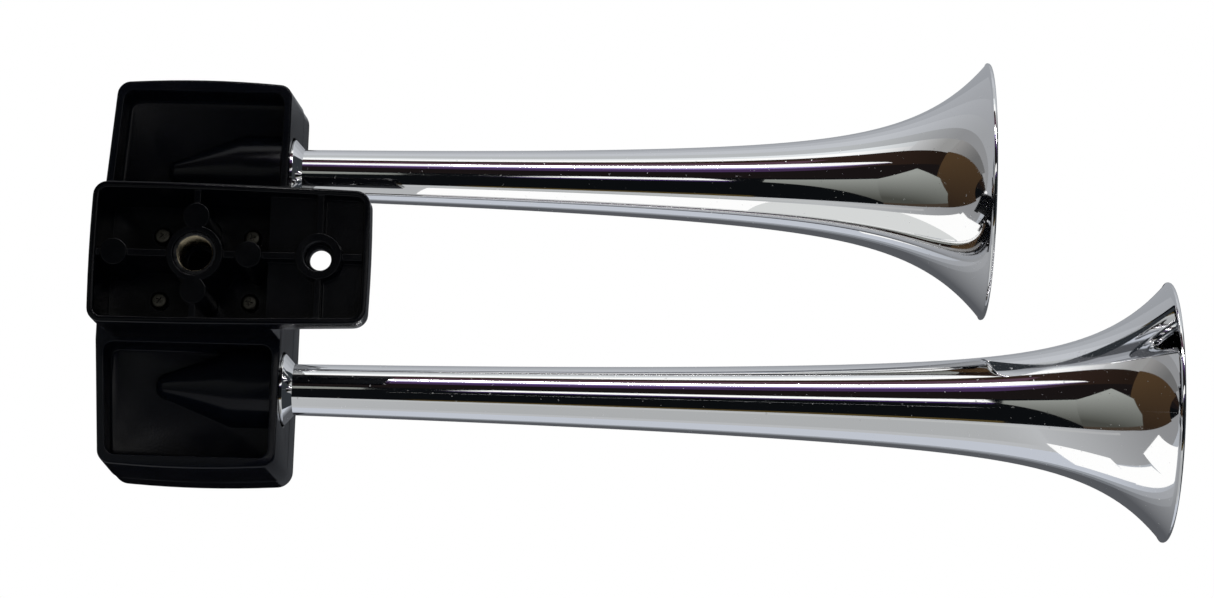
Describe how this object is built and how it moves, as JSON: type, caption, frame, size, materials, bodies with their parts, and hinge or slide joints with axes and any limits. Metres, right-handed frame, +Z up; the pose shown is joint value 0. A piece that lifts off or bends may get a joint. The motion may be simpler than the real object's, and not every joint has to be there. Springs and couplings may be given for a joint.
{
  "type": "dual-trumpet air horn",
  "caption": "Air horn with a long and a short chrome trumpet on a gloss black cast manifold, raised on an open-bottomed mounting foot with a supply port and a bolt hole.",
  "frame": {"origin": "on the mounting plane, midway between the supply port and the bolt hole of the foot, on the foot's front pad", "axes": "+X along the trumpets towards their mouths, +Y towards the long trumpet, +Z up and away from the surface that the foot is bolted to"},
  "size_m": [0.5249, 0.2348, 0.1304],
  "materials": {
    "gloss_black_casting": "gloss",
    "chrome_plate": "mirror polished",
    "brass_insert": "machined",
    "zinc_screws": "zinc plated",
    "black_rubber": "matt",
    "spring_steel": "rolled"
  },
  "bodies": {
    "horn": {"mounting_foot": "gloss_black_casting", "supply_port_insert": "brass_insert", "inlet_seal": "black_rubber", "foot_screw_1": "zinc_screws", "foot_screw_2": "zinc_screws", "foot_screw_3": "zinc_screws", "foot_screw_4": "zinc_screws", "manifold_body": "gloss_black_casting", "top_cover": "gloss_black_casting", "cover_screw_1": "zinc_screws", "cover_screw_2": "zinc_screws", "cover_screw_3": "zinc_screws", "cover_screw_4": "zinc_screws", "long_trumpet": "chrome_plate", "long_trumpet_seal": "black_rubber", "long_clamp_gasket": "black_rubber", "long_chamber_cap": "gloss_black_casting", "long_cap_screw_1": "zinc_screws", "long_cap_screw_2": "zinc_screws", "long_cap_screw_3": "zinc_screws", "long_cap_screw_4": "zinc_screws", "long_cap_screw_5": "zinc_screws", "long_cap_screw_6": "zinc_screws", "short_trumpet": "chrome_plate", "short_trumpet_seal": "black_rubber", "short_clamp_gasket": "black_rubber", "short_chamber_cap": "gloss_black_casting", "short_cap_screw_1": "zinc_screws", "short_cap_screw_2": "zinc_screws", "short_cap_screw_3": "zinc_screws", "short_cap_screw_4": "zinc_screws", "short_cap_screw_5": "zinc_screws", "short_cap_screw_6": "zinc_screws"},
    "long_diaphragm_body": {"long_diaphragm": "spring_steel"},
    "short_diaphragm_body": {"short_diaphragm": "spring_steel"}
  },
  "joints": [
    {"name": "long_diaphragm_lift", "type": "slide", "parent": "horn", "child": "long_diaphragm_body", "axis": [0, 0, 1], "range_m": [0, 0.00025], "stiffness_N_per_m": 2000},
    {"name": "short_diaphragm_lift", "type": "slide", "parent": "horn", "child": "short_diaphragm_body", "axis": [0, 0, 1], "range_m": [0, 0.00025], "stiffness_N_per_m": 2000}
  ]
}
